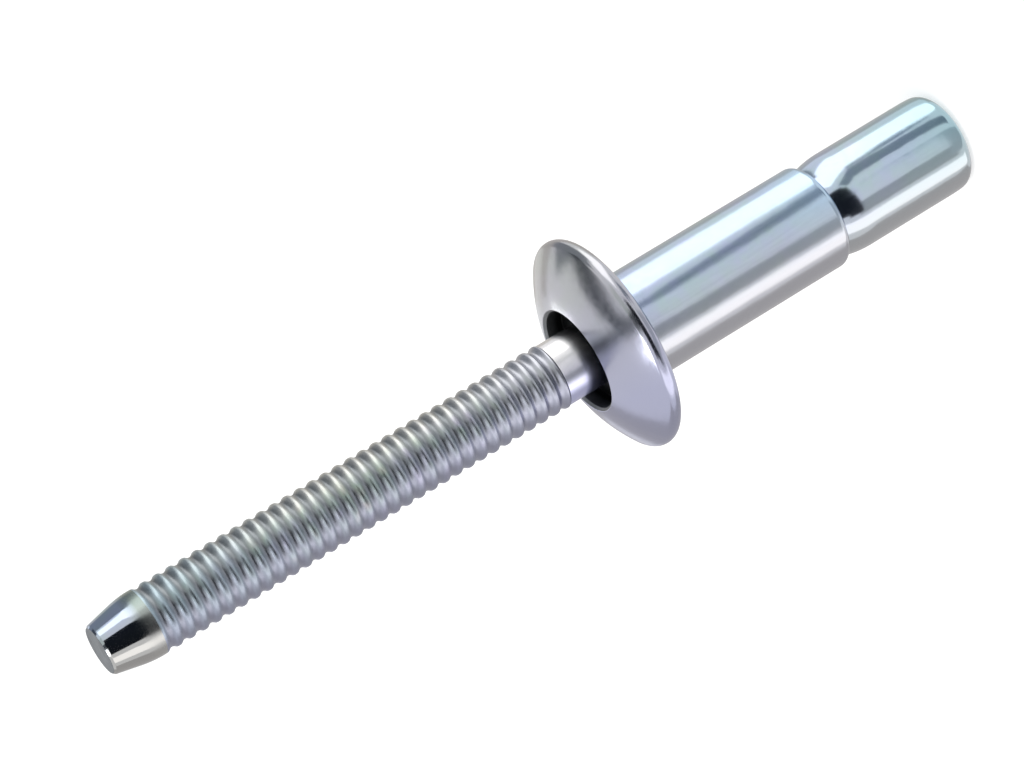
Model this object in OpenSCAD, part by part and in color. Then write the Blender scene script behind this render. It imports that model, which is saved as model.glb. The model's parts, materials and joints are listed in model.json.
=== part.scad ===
// Structural blind rivet, unset: a domed, tubular body on a mandrel with a ring-grooved pull stem.
// The axis is Z, the stem points up, and the origin is the middle of the head's seat.

/* [Rivet body] */
// Outside diameter of the tubular body
body_dia = 4.8; // [4.7:0.05:5.6]
// Length of the body, from the head's seat to its tail
body_len = 10.9; // [8:0.1:20]
// Radius of the round on the tail's outer edge
tail_round = 0.35; // [0.1:0.05:0.5]

/* [Head] */
// Diameter of the domed head
head_dia = 9.8; // [8.6:0.1:13]
// Height of the dome's crown above the seat, as if the lock recess were filled
crown_h = 2.3; // [2:0.05:3.2]
// Radius of the round on the head's outer edge
edge_round = 0.4; // [0.2:0.05:0.55]
// Diameter of the lock recess around the stem
recess_dia = 4.6; // [3.8:0.1:5.6]
// Depth of the lock recess, from its rim to its floor
recess_depth = 0.9; // [0.4:0.05:1.2]
// Width of the chamfer on the recess rim
recess_lip = 0.12; // [0.05:0.01:0.3]

/* [Pull stem] */
// Diameter over the crests between the pull grooves
stem_dia = 2.94; // [2.9:0.02:3.4]
// Height of the stem's tip above the head's seat
stem_len = 25.4; // [18:0.1:40]
// Height above the seat at which the pull grooves begin
groove_start = 3.3; // [3:0.1:6]
// Distance from one pull groove to the next
groove_pitch = 0.62; // [0.5:0.005:1]
// Depth of a pull groove below the crests
groove_depth = 0.12; // [0.08:0.01:0.2]
// Width of the flat crest between two pull grooves
crest_w = 0.18; // [0.06:0.01:0.25]
// Diameter of the flat at the tip, at the end of the taper
tip_dia = 2.26; // [1.8:0.02:2.6]
// Length of the tip's taper
tip_len = 1.65; // [1:0.05:4]
// Width of the chamfer around the flat at the tip
tip_chamfer = 0.1; // [0.05:0.01:0.3]

/* [Shank inside the body] */
// Diameter of the plain shank
shank_dia = 2.84; // [2.5:0.02:2.88]
// Room between the stem's crests and the bore, all round
stem_clearance = 0.03; // [0.02:0.01:0.1]
// Depth of the break notch below the head's seat
break_z = 2.8; // [1.5:0.1:4]
// Diameter left at the bottom of the break notch
break_dia = 1.9; // [1.5:0.05:2.3]
// Width of the break notch at the shank's surface
break_w = 0.8; // [0.4:0.05:1.2]
// Plain length between the break notch and the lock groove
lock_gap = 0.3; // [0.1:0.05:1]
// Diameter at the bottom of the lock groove
lock_dia = 2.4; // [2:0.05:2.45]
// Width of the lock groove
lock_w = 1; // [0.5:0.1:2]

/* [Blind-end head] */
// Diameter of the mandrel's solid head
blind_dia = 4.56; // [4.2:0.02:4.66]
// Length of the mandrel's head below the body's tail
blind_len = 6.95; // [4:0.05:12]
// Diameter of the shoulder that bears on the body's tail
shoulder_dia = 4.1; // [3.6:0.05:4.15]
// Length of the curve from the shoulder to the full diameter
shoulder_len = 1.4; // [0.5:0.05:3]
// Radius of the round on the blind end's edge
blind_round = 0.55; // [0.2:0.05:0.8]

/* [Hidden] */
$fn = 96;

body_r = body_dia / 2;
head_r = head_dia / 2;
stem_r = stem_dia / 2;
shank_r = shank_dia / 2;
blind_r = blind_dia / 2;
bore_r = stem_r + stem_clearance;
tail_z = -body_len;
blind_z = tail_z - blind_len;
taper_z = stem_len - tip_len;

// The dome is an arc about the axis that runs tangent into the arc of the head's edge
edge_x = head_r - edge_round;
edge_rise = crown_h - edge_round;
dome_r = (edge_x ^ 2 + edge_rise ^ 2 - edge_round ^ 2) / (2 * (edge_rise - edge_round));
dome_z = crown_h - dome_r;
edge_way = [edge_x, edge_round - dome_z] / norm([edge_x, edge_round - dome_z]);

// The recess rim lies where the lip's chamfer meets the dome
lip_r = recess_dia / 2 + recess_lip;
rim_z = dome_z + sqrt(dome_r ^ 2 - lip_r ^ 2);

// The shoulder is an arc that runs tangent into the full diameter of the blind end
shoulder_drop = blind_r - shoulder_dia / 2;
shoulder_arc = (shoulder_len ^ 2 + shoulder_drop ^ 2) / (2 * shoulder_drop);

// Each pull groove is a round-bottomed ring cut between two crests
groove_w = groove_pitch - crest_w;
groove_r = (groove_depth ^ 2 + (groove_w / 2) ^ 2) / (2 * groove_depth);
groove_x = stem_r - groove_depth + groove_r;
groove_count = floor((taper_z - groove_start) / groove_pitch);

// Overlap of shapes that are joined, and overshoot of cuts
joint = 0.1;

// Waste outside a round of radius r, at the outer lower corner [x, z] of a half section
module corner_waste(x, z, r) {
  translate([x - r, z + r])
  difference() {
    translate([0, -r - joint]) square(r + joint);
    circle(r);
  }
}

// Half section of the domed head, with the recess still filled
module head_section() {
  far = [0, dome_z] + edge_way * (dome_r + joint);
  intersection() {
    translate([0, dome_z]) circle(dome_r);
    polygon([
      [0, 0], [edge_x, 0], [edge_x, edge_round],
      far, [far.x, crown_h + joint], [0, crown_h + joint]
    ]);
  }
  translate([edge_x, edge_round]) circle(edge_round);
}

// Half section of the lock recess, open at the top
module recess_section() {
  polygon([
    [0, rim_z - recess_depth],
    [recess_dia / 2, rim_z - recess_depth],
    [recess_dia / 2, rim_z - recess_lip],
    [lip_r + joint, rim_z + joint],
    [lip_r + joint, crown_h + joint],
    [0, crown_h + joint]
  ]);
}

module rivet_body() {
  color("#b7c1ca")
  rotate_extrude()
  difference() {
    union() {
      head_section();
      translate([0, tail_z]) square([body_r, body_len + joint]);
    }
    corner_waste(body_r, tail_z, tail_round);
    recess_section();
    translate([0, tail_z - joint]) square([bore_r, body_len + crown_h]);
  }
}

// Half section of the whole mandrel, before its grooves are rolled
module mandrel_section() {
  polygon([
    [0, blind_z],
    [blind_r, blind_z],
    [blind_r, tail_z],
    [shank_r, tail_z],
    [shank_r, groove_start],
    [stem_r, groove_start],
    [stem_r, taper_z],
    [tip_dia / 2, stem_len - tip_chamfer],
    [tip_dia / 2 - tip_chamfer, stem_len],
    [0, stem_len]
  ]);
}

// Waste outside the shoulder's arc
module shoulder_waste() {
  difference() {
    translate([shoulder_dia / 2, tail_z - shoulder_len])
    square([shoulder_drop + joint, shoulder_len + joint]);
    translate([blind_r - shoulder_arc, tail_z - shoulder_len]) circle(shoulder_arc);
  }
}

// Rings rolled into the stem, from the plain shank up to the tip's taper
module pull_grooves() {
  for (i = [0 : groove_count - 1])
    translate([groove_x, groove_start + (i + 0.5) * groove_pitch]) circle(groove_r);
}

// The notch where the stem breaks once the rivet is set
module break_notch() {
  polygon([
    [break_dia / 2, -break_z],
    [shank_r + joint, -break_z + break_w / 2],
    [shank_r + joint, -break_z - break_w / 2]
  ]);
}

// The groove below the notch, which the head's metal locks into
module lock_groove() {
  lock_top = -break_z - break_w / 2 - lock_gap;
  translate([lock_dia / 2, lock_top - lock_w]) square([shank_r - lock_dia / 2 + joint, lock_w]);
}

module mandrel() {
  color("#c0c8cf")
  rotate_extrude()
  difference() {
    mandrel_section();
    corner_waste(blind_r, blind_z, blind_round);
    shoulder_waste();
    pull_grooves();
    break_notch();
    lock_groove();
  }
}

rivet_body();
mandrel();
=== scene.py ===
import json
import math

import bpy
import numpy as np
from mathutils import Matrix, Quaternion, Vector


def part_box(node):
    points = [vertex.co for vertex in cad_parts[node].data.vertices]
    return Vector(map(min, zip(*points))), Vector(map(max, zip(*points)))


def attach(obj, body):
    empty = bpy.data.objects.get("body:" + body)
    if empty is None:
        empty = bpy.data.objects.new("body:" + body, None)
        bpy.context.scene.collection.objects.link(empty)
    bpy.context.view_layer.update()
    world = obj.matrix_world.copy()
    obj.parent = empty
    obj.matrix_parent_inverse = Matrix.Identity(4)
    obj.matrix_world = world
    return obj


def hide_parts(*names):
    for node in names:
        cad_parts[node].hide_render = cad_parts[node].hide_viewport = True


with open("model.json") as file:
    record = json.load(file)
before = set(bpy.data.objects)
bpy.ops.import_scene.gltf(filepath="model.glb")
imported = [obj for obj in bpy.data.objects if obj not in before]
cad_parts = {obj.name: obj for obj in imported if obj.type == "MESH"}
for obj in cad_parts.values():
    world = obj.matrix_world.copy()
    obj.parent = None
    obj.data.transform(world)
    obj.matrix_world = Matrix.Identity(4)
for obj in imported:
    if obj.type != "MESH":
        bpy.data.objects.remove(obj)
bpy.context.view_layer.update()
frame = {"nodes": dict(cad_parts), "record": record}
mm = 0.001  # the frame is in metres, the sizes below are in mm
mounts = {m["name"]: m for m in frame["record"]["mounts"]}
bodyLow, bodyHigh = (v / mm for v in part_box("rivet_body"))
pinLow, pinHigh = (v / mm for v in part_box("mandrel"))
print("frame loaded, nodes:", sorted(frame["nodes"]))


# Outlines: half sections in mm, as (radius, height) points

def arcPoints(centre, radius, startDeg, endDeg, steps):
    angles = np.radians(np.linspace(startDeg, endDeg, steps + 1))
    return [(centre[0] + radius * math.cos(a), centre[1] + radius * math.sin(a)) for a in angles]


def plain(points):
    # corners without a round, such as the points of an arc
    return [(r, z, 0) for r, z in points]


def roundCorners(corners, steps=5, mostOfSide=0.45):
    # each corner is (radius, height, round); a corner with no round is kept as it is, and a round
    # takes up no more than mostOfSide of the side before or after it
    outline = []
    for i, (r, z, rounding) in enumerate(corners):
        here = Vector((r, z))
        before = Vector(corners[i - 1][:2]) - here
        after = Vector(corners[(i + 1) % len(corners)][:2]) - here
        if rounding == 0:
            outline.append((r, z))
            continue
        half = before.angle(after) / 2
        reach = min(rounding / math.tan(half), mostOfSide * before.length, mostOfSide * after.length)
        fromPoint = here + before.normalized() * reach
        toPoint = here + after.normalized() * reach
        for k in range(steps + 1):
            t = k / steps
            point = fromPoint * (1 - t) ** 2 + here * (2 * t * (1 - t)) + toPoint * t ** 2
            outline.append(tuple(point))
    return outline


def slotAt(stretches, r, z):
    # each stretch is (lowest z, highest z, smallest r, largest r, material index)
    for lowZ, highZ, lowR, highR, slot in stretches:
        if lowZ <= z <= highZ and lowR <= r <= highR:
            return slot
    return 0


def lathe(name, outline, closed, segments, stretches):
    # turns an outline about Z, with normals that follow the outline
    points = np.array(outline) * mm
    count = len(points)
    turn = np.arange(segments) * 2 * math.pi / segments
    ring = np.stack([np.cos(turn), np.sin(turn)], 1)
    if closed:
        along = np.roll(points, -1, axis=0) - np.roll(points, 1, axis=0)
    else:
        along = np.gradient(points, axis=0)
    side = np.stack([along[:, 1], -along[:, 0]], 1)
    side /= np.linalg.norm(side, axis=1)[:, None]
    verts, normals, rows = [], [], []
    for (r, z), (nr, nz) in zip(points, side):
        if r == 0:  # on the axis a ring is one point
            rows.append([len(verts)] * segments)
            verts.append((0, 0, z))
            normals.append((0, 0, math.copysign(1, nz)))
            continue
        rows.append(list(range(len(verts), len(verts) + segments)))
        verts += [(r * c, r * s, z) for c, s in ring]
        normals += [(nr * c, nr * s, nz) for c, s in ring]
    faces, slots = [], []
    for i in range(count if closed else count - 1):
        low, high = rows[i], rows[(i + 1) % count]
        middle = (points[i] + points[(i + 1) % count]) / 2 / mm
        slot = slotAt(stretches, *middle)
        for j in range(segments):
            k = (j + 1) % segments
            corners = [low[j], low[k], high[k], high[j]]
            faces.append([c for n, c in enumerate(corners) if c not in corners[:n]])
            slots.append(slot)
    mesh = bpy.data.meshes.new(name)
    mesh.from_pydata(verts, [], faces)
    mesh.polygons.foreach_set("use_smooth", [True] * len(faces))
    mesh.polygons.foreach_set("material_index", slots)
    mesh.update()
    mesh.normals_split_custom_set_from_vertices(normals)
    piece = bpy.data.objects.new(name, mesh)
    bpy.context.scene.collection.objects.link(piece)
    return piece


# Materials

def linearColour(hexCode):
    # undoes the sRGB curve
    values = [int(hexCode[i:i + 2], 16) / 255 for i in (1, 3, 5)]
    return [v / 12.92 if v <= 0.04045 else ((v + 0.055) / 1.055) ** 2.4 for v in values] + [1]


def addNode(tree, kind, settings=None, stops=(), **inputs):
    # inputs are named by the socket's name or identifier, with _ for a space
    node = tree.nodes.new(kind)
    for key, value in (settings or {}).items():
        setattr(node, key, value)
    for n, (place, code) in enumerate(stops):
        if n >= len(node.color_ramp.elements):
            node.color_ramp.elements.new(place)
        node.color_ramp.elements[n].position = place
        node.color_ramp.elements[n].color = linearColour(code)
    for key, value in inputs.items():
        socket = next(s for s in node.inputs if key in (s.identifier, s.name.replace(" ", "_")))
        if isinstance(value, bpy.types.NodeSocket):
            tree.links.new(value, socket)
        else:
            socket.default_value = value
    return {s.identifier: s for s in node.outputs}


def newMaterial(name):
    material = bpy.data.materials.new(name)
    material.use_nodes = True
    material.node_tree.nodes.clear()
    return material, material.node_tree


def zincSurface(name, look):
    material, tree = newMaterial(name)
    place = addNode(tree, "ShaderNodeTexCoord")["Object"]
    inMm = addNode(tree, "ShaderNodeVectorMath", {"operation": "SCALE"},
                   Vector=place, Scale=1 / mm)["Vector"]
    # the passivation film: slow drifts of tint
    cloud = addNode(tree, "ShaderNodeTexNoise", Vector=inMm, Scale=1 / look["cloudMm"],
                    Detail=3.0, Roughness=0.55)["Fac"]
    colour = addNode(tree, "ShaderNodeValToRGB", stops=look["tints"], Fac=cloud)["Color"]
    # fades of tint by radius, by height or across the piece; some looks use them for painted shade,
    # painted highlights or painted reflection tints
    flat = addNode(tree, "ShaderNodeVectorMath", {"operation": "MULTIPLY"},
                   Vector=inMm, Vector_001=(1, 1, 0))["Vector"]
    radius = addNode(tree, "ShaderNodeVectorMath", {"operation": "LENGTH"}, Vector=flat)["Value"]
    parted = addNode(tree, "ShaderNodeSeparateXYZ", Vector=inMm)
    measures = {"radius": radius, "height": parted["Z"], "across": parted["X"]}
    for measure, start, end, code in look.get("fades", []):
        share = addNode(tree, "ShaderNodeMapRange", Value=measures[measure],
                        From_Min=start, From_Max=end)["Result"]
        colour = addNode(tree, "ShaderNodeMix", {"data_type": "RGBA"}, Factor_Float=share,
                         A_Color=colour, B_Color=linearColour(code))["Result_Color"]
    # marks of the tool in the roughness and in the relief: lines or grain, coarser than real ones so
    # that they show; most of the noise lies between 0.3 and 0.7
    marked = addNode(tree, "ShaderNodeMapping", Vector=inMm,
                     Scale=[1 / size for size in look["markMm"]])["Vector"]
    mark = addNode(tree, "ShaderNodeTexNoise", Vector=marked, Scale=1.0,
                   Detail=2.0, Roughness=0.5)["Fac"]
    smoothest, roughest = look["roughness"]
    rough = addNode(tree, "ShaderNodeMapRange", Value=mark, From_Min=0.3, From_Max=0.7,
                    To_Min=smoothest, To_Max=roughest)["Result"]
    # stretches that grow duller, measured as the fades are
    for measure, start, end, dullest in look.get("dulled", []):
        rough = addNode(tree, "ShaderNodeMapRange", Value=measures[measure],
                        From_Min=start, From_Max=end, To_Min=rough, To_Max=dullest)["Result"]
    # the slow unevenness that bends the reflections
    wave = addNode(tree, "ShaderNodeTexNoise", Vector=inMm, Scale=1 / look["waveMm"], Detail=2.0)["Fac"]
    waved = addNode(tree, "ShaderNodeBump", Distance=look["waveDepthMm"] * mm, Height=wave)["Normal"]
    relief = addNode(tree, "ShaderNodeBump", Distance=look["markDepthMm"] * mm,
                     Height=mark, Normal=waved)["Normal"]
    shader = addNode(tree, "ShaderNodeBsdfPrincipled", Base_Color=colour, Metallic=1.0,
                     Roughness=rough, Normal=relief)["BSDF"]
    addNode(tree, "ShaderNodeOutputMaterial", Surface=shader)
    return material


# Bright zinc with a blue passivation on a drawn steel tube: a cool, clear mirror that drifts from blue
# to lilac and green, bluer by the tail, with a nearly neutral tint painted on the fill light's side as
# that side's reflection, and faint lines along the draw that soften the reflections
drawnTubeZinc = {
    "tints": [(0.25, "#a9bdcc"), (0.42, "#b6c1da"), (0.58, "#b2c6ce"), (0.75, "#bac4d8")],
    "fades": [("height", -7.6, -10.4, "#b4cadf"), ("across", 0.4, -1.4, "#bdbec5")],
    "cloudMm": 2.2, "roughness": (0.15, 0.21), "markMm": (0.12, 0.12, 1.8), "markDepthMm": 0.0009,
    "waveMm": 1.6, "waveDepthMm": 0.012,
}

# The same plating on a cold-headed dome: the die leaves it satin, so the reflections are soft patches;
# across the head a painted lilac reflection tint grows from neutral grey towards the fill light's side
headedDomeZinc = {
    "tints": [(0.3, "#b3b5bb"), (0.5, "#b8b8bf"), (0.7, "#b5b8b9")],
    "fades": [("across", 2.5, -2.5, "#adafc6")],
    "cloudMm": 2.6, "roughness": (0.17, 0.22), "markMm": (0.2, 0.2, 0.2), "markDepthMm": 0.0008,
    "waveMm": 1.4, "waveDepthMm": 0.014,
}

# Dull plating in a narrow recess, with painted shade: darker than the rest and nearly black below
paintedShadeRecessZinc = {
    "tints": [(0.3, "#86898c"), (0.7, "#94969a")],
    "fades": [("height", 1.8, 1.25, "#222426")],
    "cloudMm": 1.0, "roughness": (0.4, 0.5), "markMm": (0.15, 0.15, 0.15), "markDepthMm": 0.002,
    "waveMm": 1.6, "waveDepthMm": 0.01,
}

# The plating on a drawn and headed pin: clearer than on the tube, with a greener film towards the
# blind end and a nearly neutral tint painted on the fill light's side as that side's reflection
drawnPinZinc = dict(
    drawnTubeZinc, roughness=(0.11, 0.16), markDepthMm=0.0005,
    fades=[("height", -13.0, -17.8, "#a6c4cd"), ("across", 0.2, -1.9, "#bcbfc3")],
)

# The plating on a tip pointed in a smooth die: the clearest mirror on the pin, with a nearly neutral tint
# painted on the fill light's side as that side's reflection, and almost as dull and dark as the rolled
# stem where it begins
pointedTipZinc = dict(
    drawnTubeZinc, roughness=(0.07, 0.11), markDepthMm=0.0004,
    fades=[("height", 24.05, 23.5, "#8f9c98"), ("across", 0.9, -0.4, "#b4b4b3")],
    dulled=[("height", 24.05, 23.5, 0.26)],
)

# The plating on a plain shank, rubbed pale and soft between its dies, with a darker lilac tint painted on
# the fill light's side as that side's reflection
plainShankZinc = {
    "tints": [(0.3, "#e4e4e6"), (0.7, "#ebe9eb")],
    "fades": [("across", 0.4, -1.2, "#c6c9ec")],
    "cloudMm": 1.5, "roughness": (0.22, 0.26), "markMm": (0.3, 0.3, 0.8), "markDepthMm": 0.0001,
    "waveMm": 1.2, "waveDepthMm": 0.008,
}

# The plating on rolled grooves: a soft sheen, with painted shade that darkens the roots below the crests,
# a film that changes between beige, green, blue and lilac, paler by the head, a painted highlight that
# makes it pale on the key light's side, and a painted lilac reflection tint on the fill light's side
rolledStemZinc = {
    "tints": [(0.28, "#bdb4a8"), (0.42, "#a3b6ab"), (0.55, "#acb3bc"), (0.7, "#b5b0c8")],
    "fades": [
        ("across", 0.2, 1.1, "#cccdca"), ("height", 15.0, 24.0, "#9eb1bb"),
        ("radius", 1.45, 1.35, "#84898d"), ("height", 8.5, 3.3, "#bfc1ca"),
        ("across", 0.5, -1.6, "#9fa1b6"),
    ],
    "cloudMm": 1.6, "roughness": (0.3, 0.4), "markMm": (0.18, 0.18, 0.18), "markDepthMm": 0.001,
    "waveMm": 1.2, "waveDepthMm": 0.01,
}

# A sheared and then plated end: a coarse, torn face that scatters the light and looks darker than
# the sides
shearedEndZinc = {
    "tints": [(0.3, "#6f7479"), (0.7, "#868b90")],
    "cloudMm": 0.7, "roughness": (0.38, 0.5), "markMm": (0.9, 0.1, 0.3), "markDepthMm": 0.004,
    "waveMm": 0.9, "waveDepthMm": 0.03,
}

overReach = 0.1  # a stretch of plating is drawn this far past its edges, to take in whole faces


# Rivet body

bodySizes = {
    "edgeRound": 0.4, "crown": 2.3, "recessR": 2.3, "recessDepth": 0.9, "recessLip": 0.12, "boreR": 1.5,
    "tailRound": 0.35, "softEdge": 0.04,
    # the satin plating begins this far inside the lip's edge and this high above the seat
    "satinIn": 0.06, "satinUp": 0.02,
    "domeSteps": 24, "edgeSteps": 18, "tailSteps": 10, "segments": 160,
}


def buildBody(s):
    headR, rimZ, tailZ = bodyHigh.x, bodyHigh.z, bodyLow.z
    tubeR = mounts["shank"]["dims"]["r_mm"]
    soft = s["softEdge"]
    # the dome's arc runs tangent into the arc of the head's edge
    edgeX, rise = headR - s["edgeRound"], s["crown"] - s["edgeRound"]
    domeR = (edgeX ** 2 + rise ** 2 - s["edgeRound"] ** 2) / (2 * (rise - s["edgeRound"]))
    domeZ = s["crown"] - domeR
    lipR, floorZ = s["recessR"] + s["recessLip"], rimZ - s["recessDepth"]
    edgeDeg = math.degrees(math.atan2(s["edgeRound"] - domeZ, edgeX))
    lipDeg = math.degrees(math.acos(lipR / domeR))
    dome = arcPoints((0, domeZ), domeR, lipDeg, edgeDeg, s["domeSteps"])
    edge = arcPoints((edgeX, s["edgeRound"]), s["edgeRound"], edgeDeg, -90, s["edgeSteps"])
    tailCentre = (tubeR - s["tailRound"], tailZ + s["tailRound"])
    tail = arcPoints(tailCentre, s["tailRound"], 0, -90, s["tailSteps"])
    corners = [
        (s["boreR"], tailZ, soft), (s["boreR"], floorZ, soft), (s["recessR"], floorZ, soft),
        (s["recessR"], rimZ - s["recessLip"], soft), (*dome[0], soft), *plain(dome[1:] + edge[1:]),
        (tubeR, 0, soft), *plain(tail),
    ]
    outline = roundCorners(corners)[::-1]
    satinR = lipR - s["satinIn"]
    body = lathe("domedBody", outline, True, s["segments"], [
        (floorZ - overReach, rimZ, s["boreR"] - overReach, satinR, 2),
        (s["satinUp"], rimZ, satinR, headR + overReach, 1),
    ])
    body.data.materials.append(zincSurface("blueZincOnDrawnTube", drawnTubeZinc))
    body.data.materials.append(zincSurface("satinZincOnHeadedDome", headedDomeZinc))
    # the recess's plating is darkened with painted shade
    body.data.materials.append(zincSurface("recessZincWithPaintedShade", paintedShadeRecessZinc))
    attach(body, "root")
    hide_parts("rivet_body")
    return body


body = buildBody(bodySizes)
print("body turned:", len(body.data.polygons), "faces")


# Mandrel

pinSizes = {
    "shankR": 1.42, "grooveStart": 3.3, "pitch": 0.62, "grooveDepth": 0.12, "crestW": 0.18,
    "crestSoft": 0.25, "runIn": 0.05, "runInSoft": 0.03,
    "tipR": 1.13, "tipLen": 1.65, "tipChamfer": 0.1, "tipSoft": 0.08, "tipFaceSoft": 0.05,
    "taperArc": 4.6, "shoulderR": 2.05, "shoulderLen": 1.4, "blindRound": 0.55, "blindEase": 0.6,
    "easeDeg": 4.0,
    "breakZ": -2.8, "breakR": 0.95, "breakW": 0.8, "lockR": 1.2, "lockW": 1.0, "lockGap": 0.3,
    "softEdge": 0.04,
    # the stem's film begins this far below the first groove, and the torn face is this deep
    "filmRunIn": 0.06, "tornDepth": 0.02,
    "grooveSteps": 14, "taperSteps": 12, "blindSteps": 14, "easeSteps": 8, "shoulderSteps": 16,
    "segments": 160,
}


def grooveOutline(s, stemR, taperZ):
    # round-bottomed rings between narrow crests whose edges are rolled soft
    count = int((taperZ - s["grooveStart"]) / s["pitch"])
    heights = np.linspace(0, count * s["pitch"], count * s["grooveSteps"] + 1)
    across = (heights / s["pitch"]) % 1 - 0.5
    bowl = 1 - (across * s["pitch"] / ((s["pitch"] - s["crestW"]) / 2)) ** 2
    cut = bowl + np.sqrt(bowl ** 2 + s["crestSoft"] ** 2)  # the bowl, eased into the crest
    cut = (cut - cut.min()) / (cut.max() - cut.min())
    return [(stemR - s["grooveDepth"] * c, s["grooveStart"] + h) for c, h in zip(cut, heights)]


def blindOutline(s, blindR, blindZ):
    # the blind end's wall eases in a little before its round
    ease = math.radians(s["easeDeg"])
    easeR = s["blindEase"] / math.sin(ease)
    easeZ = blindZ + s["blindRound"] * (1 - math.sin(ease)) + s["blindEase"]
    roundX = blindR - easeR * (1 - math.cos(ease)) - s["blindRound"] * math.cos(ease)
    roundCentre = (roundX, blindZ + s["blindRound"])
    rounded = arcPoints(roundCentre, s["blindRound"], -90, -s["easeDeg"], s["blindSteps"])
    eased = arcPoints((blindR - easeR, easeZ), easeR, -s["easeDeg"], 0, s["easeSteps"])
    return rounded + eased[1:]


def shoulderOutline(s, blindR, tailZ):
    # an arc that runs tangent out of the wall, up to the edge that bears on the tail
    drop = blindR - s["shoulderR"]
    radius = (s["shoulderLen"] ** 2 + drop ** 2) / (2 * drop)
    endDeg = math.degrees(math.asin(s["shoulderLen"] / radius))
    return arcPoints((blindR - radius, tailZ - s["shoulderLen"]), radius, 0, endDeg, s["shoulderSteps"])


def buildMandrel(s):
    stemR = mounts["pull_stem"]["dims"]["r_mm"]
    blindR, blindZ, tipZ, tailZ = pinHigh.x, pinLow.z, pinHigh.z, bodyLow.z
    taperZ = tipZ - s["tipLen"]
    soft = s["softEdge"]
    breakLow, breakTop = s["breakZ"] - s["breakW"] / 2, s["breakZ"] + s["breakW"] / 2
    lockTop = breakLow - s["lockGap"]
    lockLow = lockTop - s["lockW"]
    # the taper begins as an arc that runs tangent into the stem and the cone
    coneDeg = math.degrees(math.atan2(stemR - s["tipR"], s["tipLen"] - s["tipChamfer"]))
    arcZ = taperZ - s["taperArc"] * math.tan(math.radians(coneDeg / 2))
    taper = arcPoints((stemR - s["taperArc"], arcZ), s["taperArc"], 0, coneDeg, s["taperSteps"])
    corners = [
        (0, blindZ, 0), *plain(blindOutline(s, blindR, blindZ)),
        *plain(shoulderOutline(s, blindR, tailZ)[:-1]), (s["shoulderR"], tailZ, soft),
        (s["shankR"], tailZ, soft),
        (s["shankR"], lockLow, soft), (s["lockR"], lockLow, soft),
        (s["lockR"], lockTop, soft), (s["shankR"], lockTop, soft),
        (s["shankR"], breakLow, soft), (s["breakR"], s["breakZ"], soft), (s["shankR"], breakTop, soft),
        (s["shankR"], s["grooveStart"] - s["runIn"], s["runInSoft"]),
        *plain(grooveOutline(s, stemR, taperZ)), *plain(taper),
        (s["tipR"], tipZ - s["tipChamfer"], s["tipSoft"]),
        (s["tipR"] - s["tipChamfer"], tipZ, s["tipFaceSoft"]), (0, tipZ, 0),
    ]
    stemReach, clearZ = stemR + overReach, arcZ - overReach
    pin = lathe("pullMandrel", roundCorners(corners), False, s["segments"], [
        (tipZ - s["tornDepth"], tipZ, 0, s["tipR"], 3),
        (clearZ, tipZ, 0, stemReach, 4),
        (s["grooveStart"] - s["filmRunIn"], clearZ, 0, stemReach, 1),
        (tailZ + soft, s["grooveStart"], 0, stemReach, 2),
    ])
    pin.data.materials.append(zincSurface("blueZincOnDrawnPin", drawnPinZinc))
    pin.data.materials.append(zincSurface("rolledZincOnStem", rolledStemZinc))
    pin.data.materials.append(zincSurface("rubbedZincOnShank", plainShankZinc))
    pin.data.materials.append(zincSurface("tornZincOnShearedEnd", shearedEndZinc))
    pin.data.materials.append(zincSurface("clearZincOnPointedTip", pointedTipZinc))
    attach(pin, "root")
    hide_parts("mandrel")
    return pin


pin = buildMandrel(pinSizes)
print("mandrel turned:", len(pin.data.polygons), "faces")


# Camera: the seat's centre is held at its pixel in the frame

cameraSet = {
    "tiltDeg": 18.82, "rollDeg": 31.2, "distanceMm": 150.0, "pixelsPerMm": 23.908,
    "seatPixel": (613.7, 338.7), "frame": (1024, 764), "sensorMm": 36, "clipMm": (5, 20000),
}


def placeCamera(s):
    tilt, roll = math.radians(s["tiltDeg"]), math.radians(s["rollDeg"])
    # the rivet's own axes as the camera sees them
    alongZ = Vector((-math.cos(tilt) * math.cos(roll), -math.cos(tilt) * math.sin(roll), math.sin(tilt)))
    alongX = Vector((-math.sin(roll), math.cos(roll), 0))
    alongY = alongZ.cross(alongX)
    spin = Matrix((alongX, alongY, alongZ))
    width, height = s["frame"]
    seat = Vector(((s["seatPixel"][0] - width / 2) / s["pixelsPerMm"],
                   (height / 2 - s["seatPixel"][1]) / s["pixelsPerMm"], -s["distanceMm"]))
    camera = bpy.data.objects.new("camera", bpy.data.cameras.new("camera"))
    bpy.context.scene.collection.objects.link(camera)
    camera.matrix_world = Matrix.Translation(spin @ -seat * mm) @ spin.to_4x4()
    camera.data.sensor_width = s["sensorMm"]
    camera.data.lens = s["pixelsPerMm"] * s["distanceMm"] * s["sensorMm"] / width
    camera.data.clip_start, camera.data.clip_end = (v * mm for v in s["clipMm"])
    bpy.context.scene.camera = camera


placeCamera(cameraSet)
print("camera placed")


# Studio: a pale floor, softboxes, and cards that the metal mirrors but the camera does not see.
# Places are (azimuth, elevation) in degrees about the rivet, with azimuth 0 on the camera's side.

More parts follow.
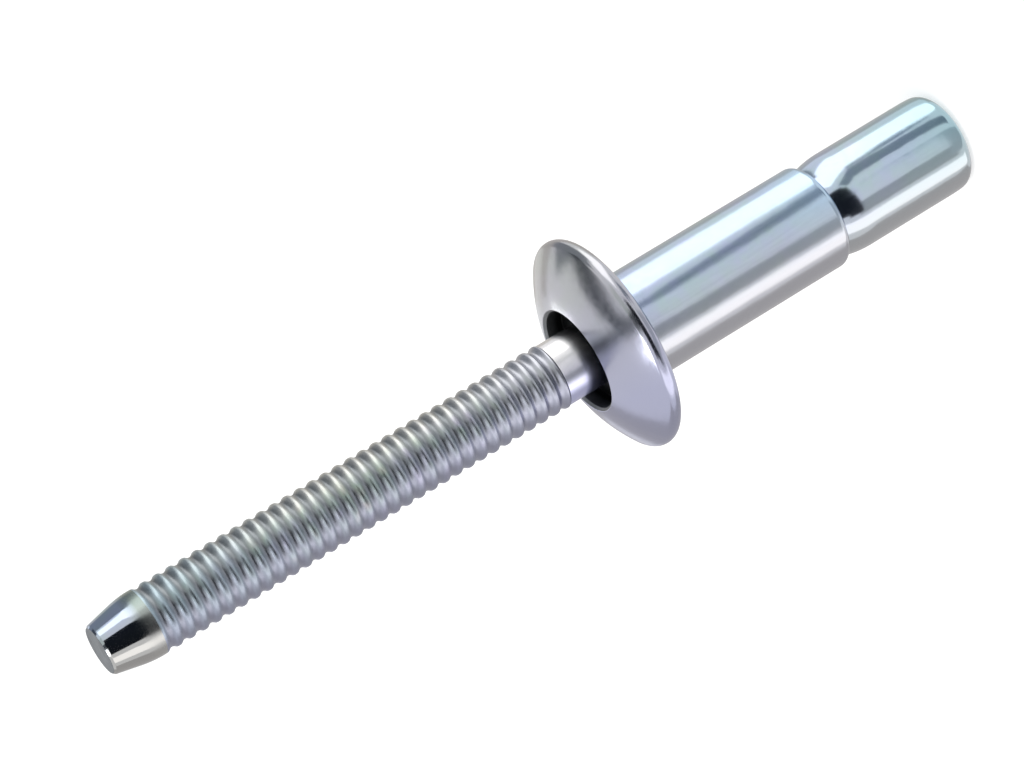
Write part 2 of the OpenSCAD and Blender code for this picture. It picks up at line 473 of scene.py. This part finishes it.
studio = {
    "boxReach": 400.0,
    # name, place, width, height and lean in degrees, level, colour
    "boxes": [
        ("keyBox", (73, -12), 36, 66, 44, 1.05, "#fffdf8"),
        ("fillBox", (-68, -5), 25, 88, -4, 0.85, "#fffaf4"),
        ("brimBox", (-46, 70), 24, 17, 0, 5.0, "#ffffff"),
        ("lipBox", (164, 36), 6, 22, 0, 1.4, "#ffffff"),
    ],
    # the first card hangs at cardReach and each next one nearer by cardGap, so it lies over the others
    "cardReach": 380.0, "cardGap": 2.0,
    # name, start, end, width at the start and at the end in degrees, tone
    "cards": [
        ("keyBack", (160, -50), (150, 18), 62, 24, "#d0ccc6"),
        ("keyWing", (107, -7), (119, 42), 58, 52, "#94989e"),
        ("fillBack", (-138, -50), (-139, 32), 78, 84, "#cac8c7"),
        ("fillEdge", (-36, -34), (-36, -12), 22, 25, "#bec0c0"),
        ("frontRoof", (22, 30), (22, 80), 50, 40, "#dde2da"),
        ("domeEdgeKey", (167, -8), (162, 11), 13, 13, "#f4f2ee"),
        ("domeEdgeFill", (-167, -9), (-164, 3), 13, 13, "#f4f4f6"),
        ("wingGap", (118, 33), (136, 86), 19, 10, "#54585e"),
        ("frontGap", (180, 84), (5, 70), 10, 13, "#5c6064"),
        ("brimGap", (5, 78), (5, 18), 12, 23, "#303338"),
        ("frontFlag", (-7, -6), (-5, 26), 64, 62, "#1c2026"),
        ("stemFlag", (-11, -16), (-13, 3), 63, 63, "#1c2026"),
        ("underCard", (-14, -85), (-14, -31), 12, 50, "#c6cacd"),
    ],
    # the same for cards near the rivet, whose mirror images shift along it
    "nearReach": 60.0,
    "nearCards": [
        ("keyEdge", (48.8, -40), (24.8, -19), 13, 13, "#9aa1aa"),
        ("keyEdgeEnd", (33, -54), (41, -38), 14, 14, "#8d959e"),
        ("shoulderEdge", (57, -39.6), (60, -35.5), 4, 13, "#a8b0b8"),
    ],
    "alongSteps": 24, "acrossSteps": 10,
    "floorR": 600.0, "floorGap": 0.002, "floorSides": 96, "floorTone": "#cfcfcf", "floorLift": 0.5,
}


def towards(azimuth, elevation):
    a, e = math.radians(azimuth), math.radians(elevation)
    return Vector((math.sin(a) * math.cos(e), -math.cos(a) * math.cos(e), math.sin(e)))


def addMesh(name, verts, faces, material):
    mesh = bpy.data.meshes.new(name)
    mesh.from_pydata(verts, [], faces)
    mesh.materials.append(material)
    thing = bpy.data.objects.new(name, mesh)
    bpy.context.scene.collection.objects.link(thing)
    return thing


def buildSoftboxes(s):
    reach = s["boxReach"] * mm
    for name, place, width, height, leanDeg, level, code in s["boxes"]:
        lamp = bpy.data.lights.new(name, "AREA")
        lamp.shape = "RECTANGLE"
        lamp.size, lamp.size_y = (2 * reach * math.tan(math.radians(v / 2)) for v in (width, height))
        lamp.energy = level * math.pi * lamp.size * lamp.size_y  # at level 1 its face shines as white does
        lamp.color = linearColour(code)[:3]
        box = bpy.data.objects.new(name, lamp)
        bpy.context.scene.collection.objects.link(box)
        way = towards(*place)
        sideways = Vector((0, 0, 1)).cross(way).normalized()
        upright = way.cross(sideways)
        lean = math.radians(leanDeg)
        tall = upright * math.cos(lean) - sideways * math.sin(lean)
        spin = Matrix((tall.cross(way), tall, way)).transposed()
        box.matrix_world = Matrix.Translation(way * reach) @ spin.to_4x4()
        box.visible_camera = False


def buildCard(s, reach, name, start, end, startWidth, endWidth, code):
    # a curved sheet at one distance, along the shortest way from start to end
    alongSteps, acrossSteps = s["alongSteps"], s["acrossSteps"]
    row = acrossSteps + 1
    startWay, endWay = towards(*start), towards(*end)
    side = startWay.cross(endWay).normalized()
    verts = []
    for j in range(alongSteps + 1):
        t = j / alongSteps
        middle = Quaternion(side, startWay.angle(endWay) * t) @ startWay
        half = math.radians(startWidth * (1 - t) + endWidth * t) / 2
        for i in range(row):
            lean = half * (2 * i / acrossSteps - 1)
            verts.append((middle * math.cos(lean) + side * math.sin(lean)) * reach * mm)
    faces = [(k, k + 1, k + row + 1, k + row)
             for j in range(alongSteps) for k in range(j * row, j * row + acrossSteps)]
    cloth, tree = newMaterial(name + "Cloth")
    glow = addNode(tree, "ShaderNodeEmission", Color=linearColour(code), Strength=1.0)["Emission"]
    addNode(tree, "ShaderNodeOutputMaterial", Surface=glow)
    card = addMesh(name, verts, faces, cloth)
    card.visible_camera = card.visible_diffuse = card.visible_shadow = False


def buildFloor(s):
    radius, height = s["floorR"] * mm, (pinLow.z - s["floorGap"]) * mm
    turn = [2 * math.pi * i / s["floorSides"] for i in range(s["floorSides"])]
    verts = [(radius * math.cos(a), radius * math.sin(a), height) for a in turn]
    # matt paper, lifted towards white
    paper, tree = newMaterial("paleFloorPaper")
    matt = addNode(tree, "ShaderNodeBsdfDiffuse", Color=linearColour(s["floorTone"]))["BSDF"]
    lift = addNode(tree, "ShaderNodeEmission", Color=(1, 1, 1, 1), Strength=s["floorLift"])["Emission"]
    both = addNode(tree, "ShaderNodeAddShader", Shader=matt, Shader_001=lift)["Shader"]
    addNode(tree, "ShaderNodeOutputMaterial", Surface=both)
    floor = addMesh("paleFloor", verts, [list(range(len(verts)))], paper)
    floor.visible_glossy = floor.visible_shadow = False


def buildStudio(s):
    buildSoftboxes(s)
    for n, card in enumerate(s["cards"]):
        buildCard(s, s["cardReach"] - n * s["cardGap"], *card)
    for card in s["nearCards"]:
        buildCard(s, s["nearReach"], *card)
    buildFloor(s)
    world = bpy.data.worlds.new("lightTent")
    bpy.context.scene.world = world
    world.use_nodes = True
    tree = world.node_tree
    tree.nodes.clear()
    glow = addNode(tree, "ShaderNodeBackground", Color=(1, 1, 1, 1), Strength=1.0)["Background"]
    addNode(tree, "ShaderNodeOutputWorld", Surface=glow)
    bpy.context.scene.view_settings.view_transform = "Standard"


buildStudio(studio)
print("studio set")
